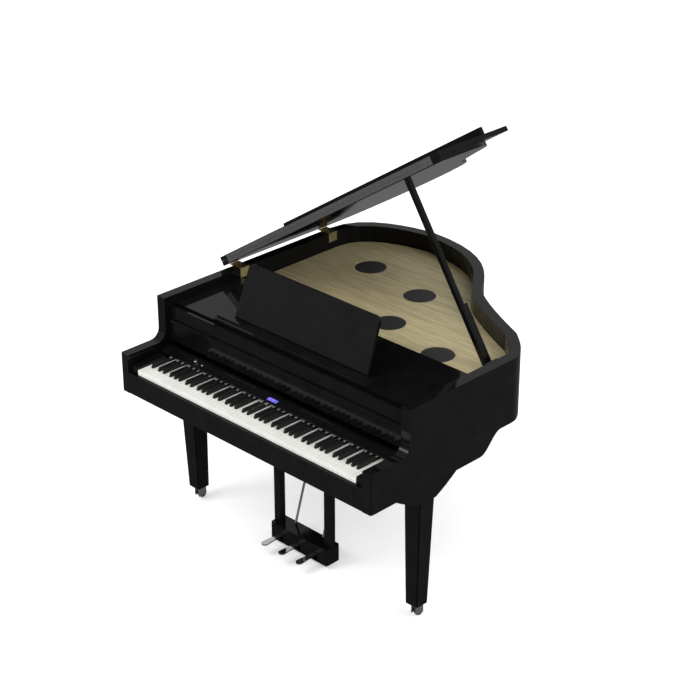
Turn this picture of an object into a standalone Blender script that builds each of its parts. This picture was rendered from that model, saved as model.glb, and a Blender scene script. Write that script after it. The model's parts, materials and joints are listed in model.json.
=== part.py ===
"""Digital grand piano with its lid propped open. Metres, +Z up, the player sits on the -Y side."""

import math

import bmesh
import bpy
from mathutils import Matrix, Vector

# Clearances
GAP = 0.0003
KEY_GAP = 0.0010
RUNNING_GAP = 0.0008

# Keyboard
KEY_PITCH = 0.0235
WHITE_KEYS = 52
KEYBOARD_HALF = WHITE_KEYS * KEY_PITCH / 2
KEY_TOP = 0.736
WHITE_THICK = 0.022
HEAD_LENGTH = 0.050
PIVOT_Y = 0.200
KEY_BACK = 0.209
RAIL_BACK = 0.225
BLACK_WIDTH = 0.0110
BLACK_RISE = 0.012
BLACK_FRONT = 0.052
BLACK_STEP = 0.144
FIRST_MOVING_WHITE = 23
MOVING_WHITES = 3
WHITE_LETTERS = "ABCDEFG"
BLACK_SHIFT = {"C": -0.0028, "D": 0.0028, "F": -0.0040, "G": 0.0, "A": 0.0040}

# Case
HALF_WIDTH = 0.700
WALL = 0.045
RIM_TOP = 0.9755
ARM_TOP = 0.790
ARM_FRONT = -0.014
RIM_FRONT = 0.189
SCROLL_RADIUS = 0.045
CASE_BOTTOM = 0.620
BODY_BOTTOM = 0.700
STEP_START = 0.585
STEP_END = 0.700
BOARD = 0.012
SOUNDBOARD_TOP = 0.900
SHELF_TOP = 0.940
SHELF_FRONT = 0.265
SHELF_BACK = 0.600
KEYBED_TOP = 0.655
KEYBED_BACK = 0.578

# Plan outline as smooth cubic spans: end point and its leaving direction in degrees
SHOULDER_START = (HALF_WIDTH, 0.760)
BENT_POINT = (0.5626, 0.9408)
BENT_HEADING = 142.1
WAIST_POINT = (0.1920, 1.1665)
WAIST_HEADING = 123.1
TAIL_POINT = (-0.3350, 1.4570)
SPINE_END = (-HALF_WIDTH, 1.1831)
SPAN_STEPS = 9

# Speakers in the soundboard
SPEAKERS = [(-0.396, 1.121), (-0.049, 1.053), (0.040, 0.776), (0.371, 0.700)]
SPEAKER_RADIUS = 0.069

# Lid
LID_AXIS_X = -0.717
LID_AXIS_Z = 0.976
LID_ANGLE = math.radians(33.1)
LID_RISE = 0.003
LID_THICK = 0.0195
LID_OVERHANG = 0.017
FLAP_JOINT = 0.567
FLAP_FRONT = 0.182
LIP_Y = 0.234
LIP_HEIGHT = 0.034
LIP_THICK = 0.018
LIP_HALF = 0.640
EDGE_SETBACK = 0.002
FLAP_AXIS_Z = LID_AXIS_Z + LID_RISE + LID_THICK + 0.0004

# Props
PROP_Y = 0.745
PROP_SIZE = 0.022
PROP_FOOT = (0.576, SOUNDBOARD_TOP + 0.0152)
SHORT_PROP_LENGTH = 0.245

# Music desk
DESK_PIVOT = (0.318, 0.952)
DESK_LEAN = math.radians(20.6)
DESK_LENGTH = 0.222
DESK_HALF_TOP = 0.356
DESK_HALF_FOOT = 0.366
DESK_THICK = 0.012

# Fallboard and control panel
FALL_PIVOT = (0.214, 0.792)
FALL_LEAN = math.radians(6)
FALL_LENGTH = 0.142
FALL_THICK = 0.014
PANEL_FRONT = 0.149
PANEL_BACK = 0.203
PANEL_HALF = 0.6546
BUTTON_WELL = 0.0045

# Legs and casters
LEG_X = 0.632
LEG_Y = 0.313
BACK_LEG = (-0.250, 1.230)
LEG_FOOT = 0.062
LEG_FOOT_HALF = 0.031
LEG_TOP_HALF = 0.041
BRACKET_FOOT = 0.540
WHEEL_RADIUS = 0.020
WHEEL_WIDTH = 0.020
TRAIL = 0.014

# Pedal lyre
BOX_HALF = 0.1625
BOX_FRONT = 0.291
BOX_BACK = 0.367
BOX_BOTTOM = 0.018
BOX_TOP = 0.093
PEDAL_XS = (-0.100, 0.0, 0.100)
PEDAL_Z = 0.052
PEDAL_TIP = 0.185

MATERIALS = {
    "black_polish": ((0.004, 0.004, 0.005, 1), 0.0, 0.08),
    "black_satin": ((0.008, 0.008, 0.008, 1), 0.0, 0.45),
    "white_key": ((0.86, 0.85, 0.80, 1), 0.0, 0.25),
    "black_key": ((0.010, 0.010, 0.011, 1), 0.0, 0.35),
    "spruce": ((0.62, 0.50, 0.26, 1), 0.0, 0.55),
    "steel": ((0.55, 0.55, 0.56, 1), 1.0, 0.30),
    "brass": ((0.72, 0.62, 0.38, 1), 1.0, 0.30),
    "chrome": ((0.80, 0.80, 0.82, 1), 1.0, 0.10),
    "grille": ((0.06, 0.06, 0.06, 1), 0.3, 0.60),
    "cone": ((0.03, 0.03, 0.03, 1), 0.0, 0.80),
    "display_glass": ((0.05, 0.04, 0.20, 1), 0.0, 0.10),
    "wheel_rubber": ((0.05, 0.05, 0.05, 1), 0.0, 0.60),
    "circuit": ((0.02, 0.14, 0.06, 1), 0.0, 0.50),
}


def material(name):
    found = bpy.data.materials.get(name)
    if found is None:
        found = bpy.data.materials.new(name)
        found.use_nodes = True
        colour, metallic, roughness = MATERIALS[name]
        shader = found.node_tree.nodes["Principled BSDF"]
        shader.inputs["Base Color"].default_value = colour
        shader.inputs["Metallic"].default_value = metallic
        shader.inputs["Roughness"].default_value = roughness
    return found


def node(name, mesh, material_name):
    """Makes one named solid with its own material, facing out."""
    bmesh.ops.recalc_face_normals(mesh, faces=mesh.faces)
    data = bpy.data.meshes.new(name)
    mesh.to_mesh(data)
    mesh.free()
    made = bpy.data.objects.new(name, data)
    bpy.context.scene.collection.objects.link(made)
    own = material(material_name).copy()
    own.name = name + "_finish"
    data.materials.append(own)
    return made


def prism(points, low, high, axis="z"):
    """Extrudes a flat outline along one axis: z takes (x, y), x takes (y, z), y takes (x, z)."""
    place = {
        "z": lambda a, b, c: (a, b, c),
        "x": lambda a, b, c: (c, a, b),
        "y": lambda a, b, c: (a, c, b),
    }[axis]
    mesh = bmesh.new()
    bottom = [mesh.verts.new(place(a, b, low)) for a, b in points]
    top = [mesh.verts.new(place(a, b, high)) for a, b in points]
    mesh.faces.new(bottom)
    mesh.faces.new(top)
    count = len(points)
    for i in range(count):
        j = (i + 1) % count
        mesh.faces.new((bottom[i], bottom[j], top[j], top[i]))
    return mesh


def box(x0, x1, y0, y1, z0, z1):
    return prism([(x0, y0), (x1, y0), (x1, y1), (x0, y1)], z0, z1)


def lathe(profile, centre, segments=24):
    """Turns (radius, height) points about the vertical axis through centre; both ends meet the axis."""
    mesh = bmesh.new()
    rings = []
    for radius, height in profile:
        if radius == 0:
            rings.append([mesh.verts.new((centre[0], centre[1], height))])
            continue
        ring = []
        for i in range(segments):
            turn = math.tau * i / segments
            ring.append(mesh.verts.new((centre[0] + radius * math.cos(turn),
                                        centre[1] + radius * math.sin(turn), height)))
        rings.append(ring)
    for lower, upper in zip(rings, rings[1:]):
        for i in range(segments):
            j = (i + 1) % segments
            if len(lower) == 1:
                mesh.faces.new((lower[0], upper[i], upper[j]))
            elif len(upper) == 1:
                mesh.faces.new((lower[i], lower[j], upper[0]))
            else:
                mesh.faces.new((lower[i], lower[j], upper[j], upper[i]))
    return mesh


def arc(centre, radius, start, end, steps):
    """Points on an arc, angles in degrees."""
    points = []
    for i in range(steps + 1):
        turn = math.radians(start + (end - start) * i / steps)
        points.append((centre[0] + radius * math.cos(turn), centre[1] + radius * math.sin(turn)))
    return points


def rounded(corners, radius, steps=3):
    """Rounds every corner of an anticlockwise or clockwise outline."""
    points = []
    count = len(corners)
    for i, corner in enumerate(corners):
        here = Vector(corner)
        to_last = (Vector(corners[i - 1]) - here).normalized()
        to_next = (Vector(corners[(i + 1) % count]) - here).normalized()
        half = to_last.angle(to_next) / 2
        reach = radius / math.tan(half)
        start = here + to_last * reach
        end = here + to_next * reach
        middle = here + (to_last + to_next).normalized() * (radius / math.sin(half))
        for k in range(steps + 1):
            part = k / steps
            along = start.lerp(end, part) - middle
            points.append(tuple(middle + along.normalized() * radius))
    return points


def cubic(start, start_pull, end_pull, end):
    """A cubic span without its first point."""
    points = []
    for i in range(1, SPAN_STEPS + 1):
        t = i / SPAN_STEPS
        weights = ((1 - t) ** 3, 3 * t * (1 - t) ** 2, 3 * t * t * (1 - t), t ** 3)
        ends = (start, start_pull, end_pull, end)
        points.append(tuple(sum(w * p[k] for w, p in zip(weights, ends)) for k in range(2)))
    return points


def pulled(point, heading, distance):
    turn = math.radians(heading)
    return (point[0] + distance * math.cos(turn), point[1] + distance * math.sin(turn))


def case_curve():
    """The plan curve from the right side round the tail to the spine, seen from above."""
    points = [SHOULDER_START]
    points += cubic(SHOULDER_START, pulled(SHOULDER_START, 90, 0.030), pulled(BENT_POINT, BENT_HEADING, -0.165),
                    BENT_POINT)
    points += cubic(BENT_POINT, pulled(BENT_POINT, BENT_HEADING, 0.005),
                    pulled(WAIST_POINT, WAIST_HEADING, -0.0974), WAIST_POINT)
    points += cubic(WAIST_POINT, pulled(WAIST_POINT, WAIST_HEADING, 0.185), pulled(TAIL_POINT, 180, -0.298),
                    TAIL_POINT)
    points += cubic(TAIL_POINT, pulled(TAIL_POINT, 180, 0.0256), pulled(SPINE_END, 90, 0.2334), SPINE_END)
    return points


def offset_curve(distance):
    """The plan curve moved outward by distance, or inward if it is negative."""
    curve = case_curve()
    moved = []
    for i, point in enumerate(curve):
        before = Vector(curve[max(i - 1, 0)])
        after = Vector(curve[min(i + 1, len(curve) - 1)])
        along = (after - before).normalized()
        if i == 0 or i == len(curve) - 1:
            along = Vector((0, 1)) if i == 0 else Vector((0, -1))
        moved.append((point[0] + along.y * distance, point[1] - along.x * distance))
    return moved


def body_outline(distance, front):
    """The closed plan outline of a board that fills the case behind a straight front edge."""
    side = HALF_WIDTH + distance
    return [(side, front)] + offset_curve(distance) + [(-side, front)]


def cut(target, cutter_mesh, name):
    """Takes one shape out of a node and removes the helper."""
    cutter = node(name, cutter_mesh, "black_satin")
    cutter.hide_render = True
    cutter.display_type = "WIRE"
    modifier = target.modifiers.new(name, "BOOLEAN")
    modifier.operation = "DIFFERENCE"
    modifier.solver = "EXACT"
    modifier.object = cutter


def join(target, added_mesh, name):
    """Adds one overlapping shape to a node, so both are one body."""
    helper = node(name, added_mesh, "black_satin")
    helper.hide_render = True
    helper.display_type = "WIRE"
    modifier = target.modifiers.new(name, "BOOLEAN")
    modifier.operation = "UNION"
    modifier.solver = "EXACT"
    modifier.object = helper


# Case
def rim_case():
    front_radius = 0.010
    outer = offset_curve(0)
    inner = offset_curve(-WALL)
    right = [(HALF_WIDTH - WALL, ARM_FRONT)]
    right += arc((HALF_WIDTH - front_radius, ARM_FRONT + front_radius), front_radius, -90, 0, 4)
    left = arc((front_radius - HALF_WIDTH, ARM_FRONT + front_radius), front_radius, 180, 270, 4)
    left += [(WALL - HALF_WIDTH, ARM_FRONT)]
    points = right + outer + left + inner[::-1]
    rim = node("rim_case", prism(points, CASE_BOTTOM, RIM_TOP), "black_polish")
    far = 1.0
    centre = (RIM_FRONT - SCROLL_RADIUS, ARM_TOP + SCROLL_RADIUS)
    scroll = [(-far, ARM_TOP)] + arc(centre, SCROLL_RADIUS, 270, 360, 8) + [(RIM_FRONT, far * 2), (-far, far * 2)]
    cut(rim, prism(scroll, -far, far, "x"), "scroll_cutter")
    lift = BODY_BOTTOM - CASE_BOTTOM
    step = [(STEP_START, CASE_BOTTOM - far)]
    for i in range(13):
        part = i / 12
        step.append((STEP_START + (STEP_END - STEP_START) * part,
                     CASE_BOTTOM + lift * (0.5 - 0.5 * math.cos(math.pi * part))))
    step += [(far * 2, BODY_BOTTOM), (far * 2, CASE_BOTTOM - far)]
    cut(rim, prism(step, -far, far, "x"), "step_cutter")


def boards():
    inside = HALF_WIDTH - WALL - GAP
    low = CASE_BOTTOM + 0.004
    bed = [(GAP, low), (KEYBED_BACK, low), (KEYBED_BACK, BODY_BOTTOM + BOARD),
           (KEYBED_BACK - 0.018, BODY_BOTTOM + BOARD), (KEYBED_BACK - 0.018, KEYBED_TOP), (GAP, KEYBED_TOP)]
    node("keybed", prism(bed, -inside, inside, "x"), "black_satin")
    node("bottom_board", prism(body_outline(-WALL - GAP, KEYBED_BACK + GAP), BODY_BOTTOM + 0.002,
                               BODY_BOTTOM + 0.002 + BOARD), "black_satin")
    back = -RUNNING_GAP
    slip = rounded([(ARM_FRONT, CASE_BOTTOM), (back, CASE_BOTTOM), (back, KEY_TOP - WHITE_THICK - 0.001),
                    (ARM_FRONT, KEY_TOP - WHITE_THICK - 0.001)], 0.003, 2)
    node("keyslip", prism(slip, -inside, inside, "x"), "black_polish")
    front = SHELF_FRONT - 0.018
    low = KEY_TOP + 0.020
    shelf = [(front, low), (SHELF_FRONT, low), (SHELF_FRONT, SHELF_TOP - 0.015), (SHELF_BACK, SHELF_TOP - 0.015),
             (SHELF_BACK, SHELF_TOP), (front, SHELF_TOP)]
    top_shelf = node("top_shelf", prism(shelf, -inside, inside, "x"), "black_polish")
    step = SHELF_TOP - 0.001
    ledge = [(front + 0.001, step), (0.304, step), (0.304, step + 0.009), (0.274, step + 0.009),
             (0.274, step + 0.017), (0.264, step + 0.017), (0.262, step + 0.009), (front + 0.001, step + 0.007)]
    join(top_shelf, prism(ledge, -0.420, 0.420, "x"), "ledge_helper")
    board = node("soundboard", prism(body_outline(-WALL - GAP, SHELF_BACK + GAP), SOUNDBOARD_TOP - BOARD,
                                     SOUNDBOARD_TOP), "spruce")
    for i, centre in enumerate(SPEAKERS):
        hole = lathe([(0, SOUNDBOARD_TOP - 0.1), (SPEAKER_RADIUS, SOUNDBOARD_TOP - 0.1),
                      (SPEAKER_RADIUS, SOUNDBOARD_TOP + 0.1), (0, SOUNDBOARD_TOP + 0.1)], centre)
        cut(board, hole, f"speaker_cutter_{i + 1}")


def key_blocks():
    for side, name in ((-1, "key_block_left"), (1, "key_block_right")):
        ends = sorted((side * (KEYBOARD_HALF + 0.0015), side * (HALF_WIDTH - WALL - GAP)))
        shape = rounded([(0.0005, KEYBED_TOP + GAP), (0.148, KEYBED_TOP + GAP), (0.148, KEY_TOP + 0.012),
                         (0.0005, KEY_TOP + 0.009)], 0.002, 2)
        node(name, prism(shape, ends[0], ends[1], "x"), "black_polish")


# Keyboard
def letter(index):
    return WHITE_LETTERS[index % len(WHITE_LETTERS)]


def black_centre(index):
    """Centre of the black key to the right of a white key, or None."""
    if letter(index) not in BLACK_SHIFT or index >= WHITE_KEYS - 1:
        return None
    return -KEYBOARD_HALF + (index + 1) * KEY_PITCH + BLACK_SHIFT[letter(index)]


def white_outline(index, back):
    left = -KEYBOARD_HALF + index * KEY_PITCH + KEY_GAP / 2
    right = left + KEY_PITCH - KEY_GAP
    reach = BLACK_WIDTH / 2 + KEY_GAP
    before = black_centre(index - 1) if index > 0 else None
    after = black_centre(index)
    slim_left = left if before is None else before + reach
    slim_right = right if after is None else after - reach
    points = [(left, 0.0), (right, 0.0)]
    if after is not None:
        points += [(right, HEAD_LENGTH), (slim_right, HEAD_LENGTH)]
    points += [(slim_right, back), (slim_left, back)]
    if before is not None:
        points += [(slim_left, HEAD_LENGTH), (left, HEAD_LENGTH)]
    return points


def comb(outlines, rail_front, rail_back, low, high):
    """Fingers joined along a straight rail, as one solid. Returns the mesh and the fingers' top faces."""
    mesh = bmesh.new()
    known = {}

    def corner(x, y):
        place = (round(x, 6), round(y, 6))
        if place not in known:
            known[place] = mesh.verts.new((x, y, low))
        return known[place]

    marks = set()
    fingers = []
    for outline in outlines:
        fingers.append(mesh.faces.new([corner(x, y) for x, y in outline]))
        marks |= {round(x, 6) for x, y in outline if abs(y - rail_front) < 1e-6}
    marks |= {round(-KEYBOARD_HALF, 6), round(KEYBOARD_HALF, 6)}
    marks = sorted(marks)
    for a, b in zip(marks, marks[1:]):
        mesh.faces.new([corner(a, rail_front), corner(b, rail_front), corner(b, rail_back), corner(a, rail_back)])
    centres = [face.calc_center_median().copy() for face in fingers]
    raised = bmesh.ops.extrude_face_region(mesh, geom=list(mesh.faces))["geom"]
    bmesh.ops.translate(mesh, verts=[v for v in raised if isinstance(v, bmesh.types.BMVert)],
                        vec=(0, 0, high - low))
    tops = []
    for centre in centres:
        for face in raised:
            if isinstance(face, bmesh.types.BMFace):
                if (face.calc_center_median() - centre - Vector((0, 0, high - low))).length < 1e-5:
                    tops.append(face)
    return mesh, tops


def raise_black(mesh, faces):
    """Lifts the playing part of each black key and slopes its front and sides."""
    made = bmesh.ops.extrude_discrete_faces(mesh, faces=faces)["faces"]
    for face in made:
        middle = face.calc_center_median()
        for vert in face.verts:
            across = 0.85
            vert.co.x = middle.x + (vert.co.x - middle.x) * across
            if vert.co.y < middle.y:
                vert.co.y += 0.006
            vert.co.z += BLACK_RISE


def keyboard():
    white_low = KEY_TOP - WHITE_THICK
    moving = range(FIRST_MOVING_WHITE, FIRST_MOVING_WHITE + MOVING_WHITES)
    fixed = [white_outline(i, KEY_BACK + 0.0006) for i in range(WHITE_KEYS) if i not in moving]
    mesh, _ = comb(fixed, KEY_BACK + 0.0006, RAIL_BACK, white_low, KEY_TOP)
    node("white_keys_fixed", mesh, "white_key")

    half = BLACK_WIDTH / 2
    black_low = KEY_TOP + 0.0004
    bodies = []
    tails = []
    for i in range(WHITE_KEYS):
        centre = black_centre(i)
        if centre is None:
            continue
        body = [(centre - half, BLACK_FRONT), (centre + half, BLACK_FRONT),
                (centre + half, BLACK_STEP), (centre - half, BLACK_STEP)]
        tail_back = KEY_BACK + 0.0006
        tail = [(centre - half, BLACK_STEP), (centre + half, BLACK_STEP),
                (centre + half, tail_back), (centre - half, tail_back)]
        name = f"key_black_{letter(i).lower()}_sharp"
        if i in moving and i + 1 in moving:
            single = prism(body, KEY_TOP - WHITE_THICK, black_low)
            top = [f for f in single.faces if abs(f.calc_center_median().z - black_low) < 1e-6]
            raise_black(single, top)
            back = [f for f in single.faces if abs(f.calc_center_median().y - BLACK_STEP) < 1e-4]
            lengthened = bmesh.ops.extrude_discrete_faces(single, faces=back[:1])["faces"]
            bmesh.ops.translate(single, verts=list({v for f in lengthened for v in f.verts}),
                                vec=(0, KEY_BACK - BLACK_STEP, 0))
            node(name, single, "black_key")
            continue
        bodies.append(body)
        tails.append(tail)
    mesh, _ = comb(tails, KEY_BACK + 0.0006, RAIL_BACK, black_low, black_low + 0.003)
    front = []
    for face in list(mesh.faces):
        centre = face.calc_center_median()
        if abs(centre.y - BLACK_STEP) < 1e-5:
            front.append(face)
    grown = bmesh.ops.extrude_discrete_faces(mesh, faces=front)["faces"]
    bmesh.ops.translate(mesh, verts=list({v for f in grown for v in f.verts}), vec=(0, BLACK_FRONT - BLACK_STEP, 0))
    tops = []
    for face in mesh.faces:
        centre = face.calc_center_median()
        if abs(centre.z - black_low - 0.003) < 1e-6 and abs(centre.y - (BLACK_FRONT + BLACK_STEP) / 2) < 1e-5:
            tops.append(face)
    raise_black(mesh, tops)
    node("black_keys_fixed", mesh, "black_key")

    for i in moving:
        name = f"key_white_{letter(i).lower()}"
        node(name, prism(white_outline(i, KEY_BACK), white_low, KEY_TOP), "white_key")
    plate_top = white_low - 0.014
    frame = [(0.030, KEYBED_TOP + GAP), (0.240, KEYBED_TOP + GAP), (0.240, plate_top), (RAIL_BACK, plate_top),
             (RAIL_BACK, white_low - GAP), (RAIL_BACK - 0.012, white_low - GAP), (RAIL_BACK - 0.012, plate_top),
             (0.030, plate_top)]
    node("key_frame", prism(frame, -KEYBOARD_HALF, KEYBOARD_HALF, "x"), "black_satin")


# Control panel
def control_panel():
    low = KEY_TOP + 0.0200
    shape = [(PANEL_FRONT, low), (PANEL_BACK, low), (PANEL_BACK, low + 0.013), (PANEL_FRONT + 0.002, low + 0.004)]
    panel = node("control_panel", prism(shape, -PANEL_HALF, PANEL_HALF, "x"), "black_polish")
    slope = 0.009 / (PANEL_BACK - PANEL_FRONT - 0.002)

    def top(y):
        return low + 0.004 + (y - PANEL_FRONT - 0.002) * slope

    lean = math.atan(slope)
    for name, x, y, radius, foot, height in (("volume_knob", -0.453, 0.172, 0.008, GAP, 0.010),
                                             ("power_button", -0.415, 0.172, 0.005, -0.002, 0.003)):
        shape = [(0, foot), (radius, foot), (radius, height - 0.001), (radius - 0.001, height), (0, height)]
        turn = Matrix.Translation((x, y, top(y))) @ Matrix.Rotation(lean, 4, "X")
        mesh = lathe(shape, (0, 0), 20)
        mesh.transform(turn)
        node(name, mesh, "chrome")
        if foot < 0:
            well = radius + GAP
            mesh = lathe([(0, -BUTTON_WELL), (well, -BUTTON_WELL), (well, 0.01), (0, 0.01)], (0, 0), 20)
            mesh.transform(turn)
            cut(panel, mesh, f"{name}_well")
    mesh = box(-0.026, 0.026, -0.008, 0.008, 0, 0.0015)
    mesh.transform(Matrix.Translation((0, 0.166, top(0.166) + GAP)) @ Matrix.Rotation(lean, 4, "X"))
    node("display", mesh, "display_glass")
    for name, first in (("button_row_left", -0.300), ("button_row_right", 0.130)):
        turn = Matrix.Translation((0, 0.186, top(0.186))) @ Matrix.Rotation(lean, 4, "X")
        mesh = box(first, first + 0.190, -0.004, 0.004, -0.002, 0.0018)
        mesh.transform(turn)
        node(name, mesh, "black_satin")
        mesh = box(first - GAP, first + 0.190 + GAP, -0.004 - GAP, 0.004 + GAP, -BUTTON_WELL, 0.01)
        mesh.transform(turn)
        cut(panel, mesh, f"{name}_well")


def fallboard():
    """Board hinged behind the panel, with its grip rail, drawn upright and leaned back."""
    along = Vector((math.sin(FALL_LEAN), math.cos(FALL_LEAN)))
    across = Vector((-along.y, along.x))
    pivot = Vector(FALL_PIVOT)

    def at(reach, side):
        return tuple(pivot + along * reach + across * side)

    half = FALL_THICK / 2
    shape = [at(-0.004, -half), at(FALL_LENGTH, -half), at(FALL_LENGTH, half), at(0.088, half), at(0.088, half + 0.010),
             at(0.074, half + 0.010), at(0.070, half), at(-0.004, half)]
    node("fallboard", prism(shape, -PANEL_HALF, PANEL_HALF, "x"), "black_polish")


# Music desk
def music_desk():
    along = Vector((math.sin(DESK_LEAN), math.cos(DESK_LEAN)))
    corners = [(-DESK_HALF_FOOT, -0.010), (DESK_HALF_FOOT, -0.010), (DESK_HALF_TOP, DESK_LENGTH),
               (-DESK_HALF_TOP, DESK_LENGTH)]
    outline = [corners[0], corners[1]] + rounded(corners, 0.022, 4)[10:]
    mesh = prism(outline, -DESK_THICK / 2, DESK_THICK / 2)
    basis = Matrix(((1, 0, 0, 0), (0, along.x, along.y, DESK_PIVOT[0]), (0, along.y, -along.x, DESK_PIVOT[1]),
                    (0, 0, 0, 1)))
    mesh.transform(basis)
    node("music_desk", mesh, "black_polish")


# Lid
def lid_turn():
    """Turns closed-lid coordinates into the raised rest pose."""
    centre = Matrix.Translation((LID_AXIS_X, 0, LID_AXIS_Z))
    return centre @ Matrix.Rotation(-LID_ANGLE, 4, "Y") @ centre.inverted()


def fold_turn():
    """Folds the flap back over the main lid, in closed-lid coordinates."""
    centre = Matrix.Translation((0, FLAP_JOINT, FLAP_AXIS_Z))
    return centre @ Matrix.Rotation(math.pi, 4, "X") @ centre.inverted()


def lid():
    low = LID_AXIS_Z + LID_RISE
    high = low + LID_THICK
    mesh = prism(body_outline(LID_OVERHANG, FLAP_JOINT + EDGE_SETBACK), low, high)
    mesh.transform(lid_turn())
    node("main_lid", mesh, "black_polish")
    side = HALF_WIDTH + LID_OVERHANG
    mesh = box(-side, side, FLAP_FRONT, FLAP_JOINT - EDGE_SETBACK, low, high)
    mesh.transform(lid_turn() @ fold_turn())
    flap = node("lid_flap", mesh, "black_polish")
    mesh = box(-LIP_HALF, LIP_HALF, LIP_Y - LIP_THICK / 2, LIP_Y + LIP_THICK / 2, low - LIP_HEIGHT, low + 0.004)
    mesh.transform(lid_turn() @ fold_turn())
    join(flap, mesh, "lip_helper")


def lid_hinges():
    radius = 0.0014
    foot = FLAP_AXIS_Z - 0.0165
    leaf = [(FLAP_JOINT + 0.0004, foot), (FLAP_JOINT + 0.0017, foot), (FLAP_JOINT + 0.0017, FLAP_AXIS_Z - 0.0015)]
    leaf += arc((FLAP_JOINT, FLAP_AXIS_Z), radius, -10, 230, 8)
    leaf += [(FLAP_JOINT + 0.0004, FLAP_AXIS_Z - 0.0018)]
    mesh = prism(leaf, -0.672, 0.672, "x")
    mesh.transform(lid_turn())
    node("long_hinge_lid_leaf", mesh, "steel")
    mesh = box(-0.672, 0.672, FLAP_JOINT - 0.0017, FLAP_JOINT - 0.0004, foot, FLAP_AXIS_Z - 0.0022)
    mesh.transform(lid_turn() @ fold_turn())
    node("long_hinge_flap_leaf", mesh, "steel")
    inner = -HALF_WIDTH + WALL
    for y, place in ((0.629, "front"), (1.150, "back")):
        barrel = arc((LID_AXIS_X, LID_AXIS_Z), 0.0020, 30, 330, 8)
        strap = [(inner + 0.0025, 0.935), (inner + 0.0025, RIM_TOP + 0.0018)]
        strap += [(LID_AXIS_X + 0.0030, RIM_TOP + 0.0018)] + barrel
        strap += [(LID_AXIS_X + 0.0030, RIM_TOP + GAP), (inner + GAP, RIM_TOP + GAP), (inner + GAP, 0.935)]
        node(f"case_hinge_{place}", prism(strap, y - 0.025, y + 0.025, "y"), "brass")
        plate = box(LID_AXIS_X + 0.004, inner + 0.002, y - 0.025, y + 0.025, LID_AXIS_Z + LID_RISE - 0.0009,
                    LID_AXIS_Z + LID_RISE - GAP / 2)
        plate.transform(lid_turn())
        node(f"lid_hinge_{place}", plate, "brass")


def props():
    """Both sticks stand in the plane at right angles to the spine, square to the lid."""
    up = Vector((-math.sin(LID_ANGLE), 0, math.cos(LID_ANGLE)))
    foot = Vector((PROP_FOOT[0], PROP_Y, PROP_FOOT[1]))
    hinge = Vector((LID_AXIS_X, PROP_Y, LID_AXIS_Z))
    reach = LID_RISE - up.dot(foot - hinge) - GAP
    turn = Matrix.Translation(foot) @ Matrix.Rotation(-LID_ANGLE, 4, "Y")
    half = PROP_SIZE / 2
    outline = rounded([(-half, -half), (half, -half), (half, half), (-half, half)], 0.003, 2)
    mesh = prism(outline, -0.010, reach)
    mesh.transform(turn)
    node("long_prop", mesh, "black_polish")
    shift = Matrix.Translation((0.0, PROP_SIZE + 0.0005, 0))
    slim = rounded([(-0.008, -half), (0.008, -half), (0.008, half - 0.004), (-0.008, half - 0.004)], 0.003, 2)
    mesh = prism(slim, -0.010, SHORT_PROP_LENGTH)
    mesh.transform(turn @ shift)
    node("short_prop", mesh, "black_polish")
    base = SOUNDBOARD_TOP + GAP
    node("prop_block", box(PROP_FOOT[0] + 0.0155, PROP_FOOT[0] + 0.0555, PROP_Y - 0.020, PROP_Y + 0.045, base,
                           base + 0.030), "black_satin")


# Inside
def speakers():
    for i, centre in enumerate(SPEAKERS):
        edge = SPEAKER_RADIUS - GAP
        top = SOUNDBOARD_TOP - 0.002
        cover = [(0, top - 0.004), (edge, top - 0.004), (edge, top), (edge - 0.004, top + 0.001), (0, top + 0.001)]
        node(f"grille_{i + 1}", lathe(cover, centre, 24), "grille")
        flange = SOUNDBOARD_TOP - BOARD - GAP
        driver = [(0, 0.806), (0.040, 0.806), (0.040, 0.826), (0.045, 0.830), (0.072, flange - 0.012),
                  (0.078, flange - 0.004), (0.078, flange), (0.064, flange), (0.060, flange - 0.004),
                  (0.024, 0.850), (0.018, 0.856), (0, 0.860)]
        node(f"driver_{i + 1}", lathe(driver, centre, 24), "cone")


def electronics():
    floor = BODY_BOTTOM + 0.002 + BOARD + GAP
    node("main_board", box(-0.480, -0.200, 0.640, 0.820, floor, floor + 0.012), "circuit")
    node("power_supply", box(-0.600, -0.500, 0.640, 0.800, floor, floor + 0.045), "steel")


# Legs
def leg(name, x, y, top, bracket_low):
    """A square tapered leg under a corbelled block."""
    side = 1 if x > 0 else -1
    block_x = (x - 0.033 * 1, x + 0.053) if side > 0 else (x - 0.053, x + 0.033)
    front = [(y - 0.180, top), (y - 0.180, top - 0.012)]
    curve = []
    for i in range(7):
        part = i / 6
        turn = math.pi / 2 * part
        curve.append((y - 0.180 + 0.130 * math.sin(turn), bracket_low + (top - 0.012 - bracket_low) * (1 - part) ** 2))
    back = []
    for i in range(7):
        part = 1 - i / 6
        turn = math.pi / 2 * part
        back.append((y + 0.154 - 0.114 * math.sin(turn), bracket_low + (top - 0.012 - bracket_low) * (1 - part) ** 2))
    shape = front + curve[1:] + back[:-1] + [(y + 0.154, top - 0.012), (y + 0.154, top)]
    block = node(name, prism(shape, block_x[0], block_x[1], "x"), "black_polish")
    mesh = box(-1, 1, -1, 1, 0, 1)
    for vert in mesh.verts:
        high = vert.co.z > 0.5
        half = LEG_TOP_HALF if high else LEG_FOOT_HALF
        middle = ((block_x[0] + block_x[1]) / 2 if high else x, y - 0.005 if high else y)
        vert.co = Vector((middle[0] + vert.co.x * half, middle[1] + vert.co.y * half,
                          bracket_low + 0.010 if high else LEG_FOOT))
    bmesh.ops.bevel(mesh, geom=[e for e in mesh.edges if abs(e.verts[0].co.z - e.verts[1].co.z) > 0.1],
                    offset=0.004, segments=2, affect="EDGES")
    join(block, mesh, f"{name}_helper")
    caster(name.replace("leg", "caster"), x, y)


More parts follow.
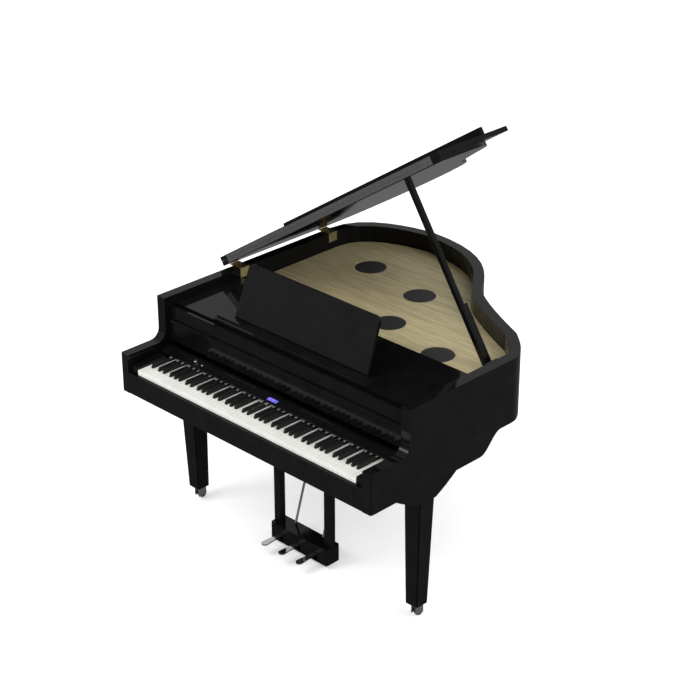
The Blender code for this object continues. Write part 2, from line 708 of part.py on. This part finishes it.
def caster(name, x, y):
    """Swivel fork bent from one plate, and its wheel on a trailing axle."""
    half = WHEEL_WIDTH / 2 + RUNNING_GAP
    outer = half + 0.003
    top = LEG_FOOT - GAP
    inside = 2 * WHEEL_RADIUS + 0.004
    shape = [(-outer, WHEEL_RADIUS - 0.006), (-half, WHEEL_RADIUS - 0.006), (-half, inside), (half, inside),
             (half, WHEEL_RADIUS - 0.006), (outer, WHEEL_RADIUS - 0.006), (outer, top), (-outer, top)]
    mesh = prism(shape, y - 0.014, y + 0.026, "y")
    mesh.transform(Matrix.Translation((x, 0, 0)))
    node(f"{name}_fork", mesh, "chrome")
    profile = [(0, -WHEEL_WIDTH / 2), (0.016, -WHEEL_WIDTH / 2), (WHEEL_RADIUS, -WHEEL_WIDTH / 2 + 0.003),
               (WHEEL_RADIUS, WHEEL_WIDTH / 2 - 0.003), (0.016, WHEEL_WIDTH / 2), (0, WHEEL_WIDTH / 2)]
    mesh = lathe(profile, (0, 0), 24)
    mesh.transform(Matrix.Translation((x, y + TRAIL, WHEEL_RADIUS)) @ Matrix.Rotation(math.pi / 2, 4, "Y"))
    node(f"{name}_wheel", mesh, "wheel_rubber")


def lyre():
    outline = rounded([(-BOX_HALF, BOX_FRONT), (BOX_HALF, BOX_FRONT), (BOX_HALF, BOX_BACK),
                       (-BOX_HALF, BOX_BACK)], 0.008, 3)
    pedal_box = node("lyre", prism(outline, BOX_BOTTOM, BOX_TOP), "black_polish")
    for side, name in ((-1, "lyre_brace_left"), (1, "lyre_brace_right")):
        ends = sorted((side * (BOX_HALF - 0.036), side * (BOX_HALF - 0.0005)))
        join(pedal_box, box(ends[0], ends[1], 0.314, 0.342, BOX_TOP - 0.010, CASE_BOTTOM + 0.004 - GAP),
             name.replace("brace", "helper"))
        mesh = lathe([(0, 0), (0.005, 0), (0.005, 1), (0, 1)], (0, 0), 10)
        low = Vector((side * 0.080, 0.356, BOX_TOP + 0.003))
        high = Vector((side * 0.080, 0.520, CASE_BOTTOM + 0.001))
        run = high - low
        mesh.transform(Matrix.Translation(low) @ Vector((0, 0, 1)).rotation_difference(run).to_matrix().to_4x4()
                       @ Matrix.Diagonal((1, 1, run.length, 1)))
        node(name, mesh, "chrome")
    for i, x in enumerate(PEDAL_XS):
        cut(pedal_box, box(x - 0.0105, x + 0.0105, BOX_FRONT - 0.01, BOX_FRONT + 0.050, PEDAL_Z - 0.026, PEDAL_Z + 0.008),
            f"pedal_cutter_{i + 1}")
        name = ("pedal_soft", "pedal_sostenuto", "pedal_damper")[i]
        tip = arc((x, PEDAL_TIP + 0.015), 0.015, 180, 360, 8)
        outline = tip + [(x + 0.010, BOX_FRONT - 0.030), (x + 0.010, BOX_FRONT + 0.045), (x - 0.010, BOX_FRONT + 0.045),
                         (x - 0.010, BOX_FRONT - 0.030)]
        mesh = prism(outline, PEDAL_Z, PEDAL_Z + 0.006)
        node(name, mesh, "chrome")


def lifted(point):
    """Where a point of the closed lid stands once the lid is up."""
    return lid_turn() @ Vector(point)


def set_origin(name, point):
    """Puts a moving piece's origin on its joint."""
    piece = bpy.data.objects[name]
    piece.data.transform(Matrix.Translation(-Vector(point)))
    piece.location = point


def set_origins():
    key_z = KEY_TOP - WHITE_THICK
    for offset in range(MOVING_WHITES):
        index = FIRST_MOVING_WHITE + offset
        middle = -KEYBOARD_HALF + (index + 0.5) * KEY_PITCH
        set_origin(f"key_white_{letter(index).lower()}", (middle, PIVOT_Y, key_z))
        if offset < MOVING_WHITES - 1 and black_centre(index) is not None:
            set_origin(f"key_black_{letter(index).lower()}_sharp", (black_centre(index), PIVOT_Y, key_z))
    for name, x in zip(("pedal_soft", "pedal_sostenuto", "pedal_damper"), PEDAL_XS):
        set_origin(name, (x, BOX_FRONT + 0.045, PEDAL_Z + 0.003))
    set_origin("volume_knob", (-0.453, 0.172, KEY_TOP + 0.028))
    set_origin("power_button", (-0.415, 0.172, KEY_TOP + 0.028))
    set_origin("fallboard", (0, FALL_PIVOT[0], FALL_PIVOT[1]))
    set_origin("music_desk", (0, DESK_PIVOT[0], DESK_PIVOT[1]))
    set_origin("main_lid", (LID_AXIS_X, 0.890, LID_AXIS_Z))
    set_origin("lid_flap", lifted((0, FLAP_JOINT, FLAP_AXIS_Z)))
    for name in ("long_prop", "short_prop"):
        set_origin(name, (PROP_FOOT[0], PROP_Y, PROP_FOOT[1]))
    for name, x, y in (("left", -LEG_X, LEG_Y), ("right", LEG_X, LEG_Y), ("back", BACK_LEG[0], BACK_LEG[1])):
        set_origin(f"caster_{name}_fork", (x, y, LEG_FOOT))
        set_origin(f"caster_{name}_wheel", (x, y + TRAIL, WHEEL_RADIUS))


def centre_on_floor():
    """Moves everything so that the middle of the whole piano's footprint is the world origin."""
    flap_top = FLAP_AXIS_Z + 0.0004 + LID_THICK - LID_AXIS_Z
    left = LID_AXIS_X - math.sin(LID_ANGLE) * flap_top
    back = TAIL_POINT[1] + LID_OVERHANG
    shift = Vector(((left + HALF_WIDTH) / -2, (ARM_FRONT + back) / -2, 0))
    for piece in bpy.data.objects:
        piece.location += shift


def main():
    for existing in list(bpy.data.objects):
        bpy.data.objects.remove(existing)
    rim_case()
    boards()
    key_blocks()
    keyboard()
    control_panel()
    fallboard()
    music_desk()
    lid()
    lid_hinges()
    props()
    speakers()
    electronics()
    for name, x in (("leg_left", -LEG_X), ("leg_right", LEG_X)):
        leg(name, x, LEG_Y, CASE_BOTTOM - GAP, BRACKET_FOOT)
    leg("leg_back", BACK_LEG[0], BACK_LEG[1], BODY_BOTTOM - GAP, BRACKET_FOOT + 0.090)
    lyre()
    set_origins()
    centre_on_floor()


main()
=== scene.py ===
"""Render scene of the digital grand piano: materials, soft studio light and the photo's camera."""

import json
import math

import bpy
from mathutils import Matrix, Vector


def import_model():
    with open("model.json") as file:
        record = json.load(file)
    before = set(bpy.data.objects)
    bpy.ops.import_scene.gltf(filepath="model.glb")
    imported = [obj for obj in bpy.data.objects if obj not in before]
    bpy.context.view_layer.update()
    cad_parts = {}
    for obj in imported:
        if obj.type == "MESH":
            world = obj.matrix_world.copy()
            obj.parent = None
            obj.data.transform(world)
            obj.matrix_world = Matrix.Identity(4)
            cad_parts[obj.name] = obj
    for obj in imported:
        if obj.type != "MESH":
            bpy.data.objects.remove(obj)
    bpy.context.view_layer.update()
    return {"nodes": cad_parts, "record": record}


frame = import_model()

# Camera in the photo's place, fitted to the photo: metres, radians and millimetres of lens
CAMERA_PLACE = (4.6587, -4.8613, 4.1237)
CAMERA_YAW = 0.7764
CAMERA_PITCH = 0.4618
CAMERA_LENS = 95.44
SENSOR_WIDTH = 36
VIEW_DEPTH = 200

# Light: strengths, and how much of the white room the polished pieces mirror
WORLD_STRENGTH = 0.9
MIRRORED_WORLD = 0.55
MIRRORED_FLOOR = 0.12
FLOOR_GLOW = 0.35
FLOOR_HALF = 30.0
LIGHT_TARGET = (0, 0, 0.8)
KEY_LIGHT = {"place": (-1.5, -3.5, 4.5), "size": (2.5, 2.5), "power": 120}
SIDE_LIGHT = {"place": (3.5, 1.0, 3.0), "size": (1.5, 2.5), "power": 60}

# Materials
GRAIN_ANGLE = math.radians(-38)
GRAIN_STRETCH = (1.0, 14.0, 1.0)
GRAIN_RELIEF = 0.0002
COVER_HOLES_PER_METRE = 260.0
COVER_RELIEF = 0.0008
SATIN_RELIEF = 0.0001
RUBBER_RELIEF = 0.0002
CONE_RELIEF = 0.0003


def shader_tree(name):
    """A new material with its node tree and its Principled shader."""
    made = bpy.data.materials.new(name)
    made.use_nodes = True
    tree = made.node_tree
    return made, tree, tree.nodes["Principled BSDF"]


def noise(tree, scale, detail=4.0, stretch=(1, 1, 1)):
    """Noise in object space, stretched along the axes."""
    place = tree.nodes.new("ShaderNodeTexCoord")
    mapping = tree.nodes.new("ShaderNodeMapping")
    mapping.inputs["Scale"].default_value = stretch
    texture = tree.nodes.new("ShaderNodeTexNoise")
    texture.inputs["Scale"].default_value = scale
    texture.inputs["Detail"].default_value = detail
    tree.links.new(place.outputs["Object"], mapping.inputs["Vector"])
    tree.links.new(mapping.outputs["Vector"], texture.inputs["Vector"])
    return texture


def ramp(tree, source, low, high, start=0.3, end=0.7):
    """Spreads a grey value between two colours."""
    made = tree.nodes.new("ShaderNodeValToRGB")
    made.color_ramp.elements[0].position = start
    made.color_ramp.elements[0].color = low
    made.color_ramp.elements[1].position = end
    made.color_ramp.elements[1].color = high
    tree.links.new(source, made.inputs["Fac"])
    return made


def bump(tree, shader, source, distance, strength=0.3):
    """Gives the shader a relief of the given depth in metres."""
    made = tree.nodes.new("ShaderNodeBump")
    made.inputs["Distance"].default_value = distance
    made.inputs["Strength"].default_value = strength
    tree.links.new(source, made.inputs["Height"])
    tree.links.new(made.outputs["Normal"], shader.inputs["Normal"])


def grey(value):
    return (value, value, value, 1)


def plain(name, low, high, rough_low, rough_high, scale=30.0, metallic=0.0, specular=0.5, relief=0.0):
    """A finish whose colour and gloss wander slightly, with an optional fine relief."""
    made, tree, shader = shader_tree(name)
    wander = noise(tree, scale)
    colour = ramp(tree, wander.outputs["Fac"], low, high)
    gloss = ramp(tree, wander.outputs["Fac"], grey(rough_low), grey(rough_high))
    tree.links.new(colour.outputs["Color"], shader.inputs["Base Color"])
    tree.links.new(gloss.outputs["Color"], shader.inputs["Roughness"])
    shader.inputs["Metallic"].default_value = metallic
    shader.inputs["Specular IOR Level"].default_value = specular
    if relief:
        fine = noise(tree, scale * 20, 2.0)
        bump(tree, shader, fine.outputs["Fac"], relief)
    return made


def spruce(name):
    """Pale soundboard wood with its grain running diagonally."""
    made, tree, shader = shader_tree(name)
    place = tree.nodes.new("ShaderNodeTexCoord")
    mapping = tree.nodes.new("ShaderNodeMapping")
    mapping.inputs["Rotation"].default_value = (0, 0, GRAIN_ANGLE)
    mapping.inputs["Scale"].default_value = GRAIN_STRETCH
    grain = tree.nodes.new("ShaderNodeTexNoise")
    grain.inputs["Scale"].default_value = 6.0
    grain.inputs["Detail"].default_value = 8.0
    grain.inputs["Roughness"].default_value = 0.65
    tree.links.new(place.outputs["Object"], mapping.inputs["Vector"])
    tree.links.new(mapping.outputs["Vector"], grain.inputs["Vector"])
    colour = ramp(tree, grain.outputs["Fac"], (0.34, 0.28, 0.15, 1), (0.52, 0.45, 0.26, 1), 0.35, 0.65)
    tree.links.new(colour.outputs["Color"], shader.inputs["Base Color"])
    shader.inputs["Roughness"].default_value = 0.5
    bump(tree, shader, grain.outputs["Fac"], GRAIN_RELIEF, 0.2)
    return made


def brushed(name, low, high, stretch):
    """Metal brushed along one direction."""
    made, tree, shader = shader_tree(name)
    lines = noise(tree, 60.0, 6.0, stretch)
    colour = ramp(tree, lines.outputs["Fac"], low, high)
    gloss = ramp(tree, lines.outputs["Fac"], grey(0.22), grey(0.42))
    tree.links.new(colour.outputs["Color"], shader.inputs["Base Color"])
    tree.links.new(gloss.outputs["Color"], shader.inputs["Roughness"])
    shader.inputs["Metallic"].default_value = 1.0
    return made


def mesh_cover(name):
    """Black pierced cover: small dark holes on a regular pitch."""
    made, tree, shader = shader_tree(name)
    place = tree.nodes.new("ShaderNodeTexCoord")
    cells = tree.nodes.new("ShaderNodeTexVoronoi")
    cells.inputs["Scale"].default_value = COVER_HOLES_PER_METRE
    cells.inputs["Randomness"].default_value = 0.0
    tree.links.new(place.outputs["Object"], cells.inputs["Vector"])
    colour = ramp(tree, cells.outputs["Distance"], grey(0.004), grey(0.035), 0.30, 0.38)
    tree.links.new(colour.outputs["Color"], shader.inputs["Base Color"])
    shader.inputs["Metallic"].default_value = 0.4
    shader.inputs["Roughness"].default_value = 0.5
    bump(tree, shader, cells.outputs["Distance"], COVER_RELIEF)
    return made


def lit_glass(name):
    """Dark display glass with a faint blue-violet glow."""
    made, tree, shader = shader_tree(name)
    glow = noise(tree, 90.0)
    colour = ramp(tree, glow.outputs["Fac"], (0.06, 0.05, 0.35, 1), (0.16, 0.14, 0.70, 1))
    tree.links.new(colour.outputs["Color"], shader.inputs["Base Color"])
    tree.links.new(colour.outputs["Color"], shader.inputs["Emission Color"])
    shader.inputs["Emission Strength"].default_value = 0.8
    shader.inputs["Roughness"].default_value = 0.08
    return made


FINISHES = {
    "black_polish": plain("black_polish", grey(0.0030), grey(0.0050), 0.04, 0.08, 12.0, specular=0.16),
    "black_satin": plain("black_satin", grey(0.006), grey(0.010), 0.38, 0.5, 40.0, specular=0.2,
                         relief=SATIN_RELIEF),
    "white_key": plain("white_key", (0.70, 0.70, 0.66, 1), (0.76, 0.76, 0.72, 1), 0.16, 0.24, 25.0),
    "black_key": plain("black_key", grey(0.006), grey(0.011), 0.28, 0.4, 60.0, specular=0.25,
                       relief=SATIN_RELIEF),
    "spruce": spruce("spruce"),
    "steel": brushed("steel", grey(0.32), grey(0.46), (1, 30, 30)),
    "brass": brushed("brass", (0.55, 0.47, 0.30, 1), (0.68, 0.60, 0.40, 1), (30, 1, 1)),
    "chrome": plain("chrome", grey(0.70), grey(0.80), 0.06, 0.12, 40.0, metallic=1.0),
    "grille": mesh_cover("grille"),
    "cone": plain("cone", grey(0.02), grey(0.035), 0.7, 0.85, 80.0, relief=CONE_RELIEF),
    "display_glass": lit_glass("display_glass"),
    "wheel_rubber": plain("wheel_rubber", grey(0.02), grey(0.035), 0.5, 0.65, 60.0, relief=RUBBER_RELIEF),
    "circuit": plain("circuit", (0.01, 0.09, 0.03, 1), (0.02, 0.16, 0.06, 1), 0.35, 0.5, 90.0),
}



def dress_pieces():
    """Gives every CAD node the finish of its material slot."""
    for part in frame["record"]["subparts"]:
        piece = frame["nodes"][part["node"]]
        piece.data.materials.clear()
        piece.data.materials.append(FINISHES[part["material_slot"]])


# Floor and background
def dimmed_in_mirrors(tree, bright, dim):
    """A value that drops for what shows only in reflections, so polished black stays dark."""
    path = tree.nodes.new("ShaderNodeLightPath")
    mix = tree.nodes.new("ShaderNodeMix")
    mix.data_type = "FLOAT"
    mix.inputs["A"].default_value = bright
    mix.inputs["B"].default_value = dim
    tree.links.new(path.outputs["Is Glossy Ray"], mix.inputs["Factor"])
    return mix.outputs["Result"]


def floor_material():
    """Pale floor that reads as white and takes only a faint shadow."""
    made, tree, shader = shader_tree("floor_paper")
    grain = noise(tree, 3.0)
    colour = ramp(tree, grain.outputs["Fac"], grey(0.93), grey(0.96))
    seen = tree.nodes.new("ShaderNodeVectorMath")
    seen.operation = "SCALE"
    tree.links.new(colour.outputs["Color"], seen.inputs[0])
    tree.links.new(dimmed_in_mirrors(tree, 1.0, MIRRORED_FLOOR), seen.inputs["Scale"])
    tree.links.new(seen.outputs["Vector"], shader.inputs["Base Color"])
    shader.inputs["Roughness"].default_value = 0.9
    shader.inputs["Specular IOR Level"].default_value = 0.0
    tree.links.new(seen.outputs["Vector"], shader.inputs["Emission Color"])
    shader.inputs["Emission Strength"].default_value = FLOOR_GLOW
    return made


def floor():
    """A wide floor under the casters."""
    data = bpy.data.meshes.new("floor")
    half = FLOOR_HALF
    corners = [(-half, -half, 0), (half, -half, 0), (half, half, 0), (-half, half, 0)]
    data.from_pydata(corners, [], [(0, 1, 2, 3)])
    made = bpy.data.objects.new("floor", data)
    bpy.context.scene.collection.objects.link(made)
    made.data.materials.append(floor_material())


def world():
    """White light from all round, mirrored less brightly than it shines."""
    made = bpy.data.worlds.new("studio")
    made.use_nodes = True
    tree = made.node_tree
    sky = tree.nodes["Background"]
    sky.inputs["Color"].default_value = (1, 1, 1, 1)
    tree.links.new(dimmed_in_mirrors(tree, WORLD_STRENGTH, MIRRORED_WORLD), sky.inputs["Strength"])
    bpy.context.scene.world = made


def soft_box(name, light):
    """A rectangular area light aimed at the middle of the piano."""
    data = bpy.data.lights.new(name, "AREA")
    data.shape = "RECTANGLE"
    data.size = light["size"][0]
    data.size_y = light["size"][1]
    data.energy = light["power"]
    made = bpy.data.objects.new(name, data)
    made.location = light["place"]
    aim = Vector(LIGHT_TARGET) - Vector(light["place"])
    made.rotation_euler = aim.to_track_quat("-Z", "Y").to_euler()
    bpy.context.scene.collection.objects.link(made)


def photo_camera():
    """The camera that took the photo."""
    lens = bpy.data.cameras.new("photo_camera")
    lens.sensor_width = SENSOR_WIDTH
    lens.sensor_fit = "HORIZONTAL"
    lens.lens = CAMERA_LENS
    lens.clip_end = VIEW_DEPTH
    camera = bpy.data.objects.new("photo_camera", lens)
    camera.location = CAMERA_PLACE
    camera.rotation_euler = (math.pi / 2 - CAMERA_PITCH, 0, CAMERA_YAW)
    bpy.context.scene.collection.objects.link(camera)
    bpy.context.scene.camera = camera


dress_pieces()
floor()
world()
soft_box("key_light", KEY_LIGHT)
soft_box("side_light", SIDE_LIGHT)
photo_camera()
bpy.context.scene.view_settings.view_transform = "Standard"
